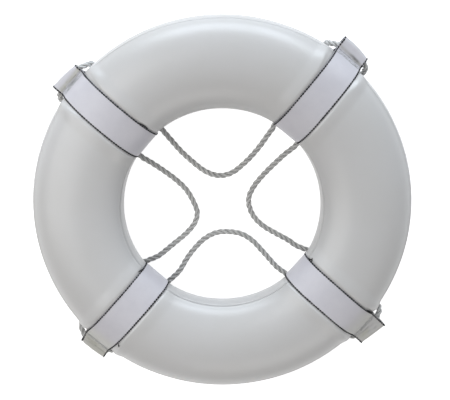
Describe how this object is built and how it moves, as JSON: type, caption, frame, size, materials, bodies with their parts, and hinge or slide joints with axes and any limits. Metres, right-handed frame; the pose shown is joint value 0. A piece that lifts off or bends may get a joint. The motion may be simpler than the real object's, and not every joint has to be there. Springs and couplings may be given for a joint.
{
  "type": "ring lifebuoy with grab line",
  "caption": "Round foam-filled ring lifebuoy with sewn webbing straps and a rope grab line that runs through their sleeves and lies in free bights across the hole.",
  "frame": {"origin": "centre of the ring, on its axis and half way through its thickness", "axes": "+Z along the ring's axis, out of the front face, which is the side the picture shows; +X to the right of the picture and +Y to its top. The ring lies on its back, on the grab line."},
  "size_m": [0.6094, 0.6094, 0.1127],
  "materials": {
    "white_shell": "semi-gloss white moulded skin",
    "foam": "closed-cell foam, hidden inside the skins",
    "white_webbing": "coated white webbing with a faint lilac cast",
    "black_thread": "black lock stitching",
    "white_thread": "white cross stitching",
    "rope": "twisted three-strand rope, grey white"
  },
  "bodies": {
    "ring": {"front_skin": "white_shell", "rear_skin": "white_shell", "foam_core": "foam", "strap_top_right": "white_webbing", "strap_top_left": "white_webbing", "strap_bottom_left": "white_webbing", "strap_bottom_right": "white_webbing", "edge_stitching_top_right_a": "black_thread", "edge_stitching_top_right_b": "black_thread", "edge_stitching_top_left_a": "black_thread", "edge_stitching_top_left_b": "black_thread", "edge_stitching_bottom_left_a": "black_thread", "edge_stitching_bottom_left_b": "black_thread", "edge_stitching_bottom_right_a": "black_thread", "edge_stitching_bottom_right_b": "black_thread", "sleeve_seam_top_right": "white_thread", "sleeve_seam_top_left": "white_thread", "sleeve_seam_bottom_left": "white_thread", "sleeve_seam_bottom_right": "white_thread", "line_in_sleeve_top_right": "rope", "line_in_sleeve_top_left": "rope", "line_in_sleeve_bottom_left": "rope", "line_in_sleeve_bottom_right": "rope", "line_top_left_to_top": "rope", "line_top_right_to_top": "rope", "line_top_right_to_right": "rope", "line_bottom_right_to_right": "rope", "line_bottom_right_to_bottom": "rope", "line_bottom_left_to_bottom": "rope", "line_bottom_left_to_left": "rope", "line_top_left_to_left": "rope"},
    "top_bight": {"bight_top": "rope"},
    "right_bight": {"bight_right": "rope"},
    "bottom_bight": {"bight_bottom": "rope"},
    "left_bight": {"bight_left": "rope"}
  },
  "joints": [
    {"name": "lift_top_bight", "type": "hinge", "parent": "ring", "child": "top_bight", "pos_m": [-0.00603, 0.11622, -0.05505], "axis": [-0.9991, -0.0427, 0], "range_deg": [0, 90]},
    {"name": "lift_right_bight", "type": "hinge", "parent": "ring", "child": "right_bight", "pos_m": [0.1222, 0.00464, -0.05505], "axis": [-0.0129, 0.9999, 0], "range_deg": [0, 90]},
    {"name": "lift_bottom_bight", "type": "hinge", "parent": "ring", "child": "bottom_bight", "pos_m": [0.00803, -0.12298, -0.05505], "axis": [0.998, 0.0638, 0], "range_deg": [0, 90]},
    {"name": "lift_left_bight", "type": "hinge", "parent": "ring", "child": "left_bight", "pos_m": [-0.12035, -0.0146, -0.05505], "axis": [0.1419, -0.9899, 0], "range_deg": [0, 90]}
  ]
}
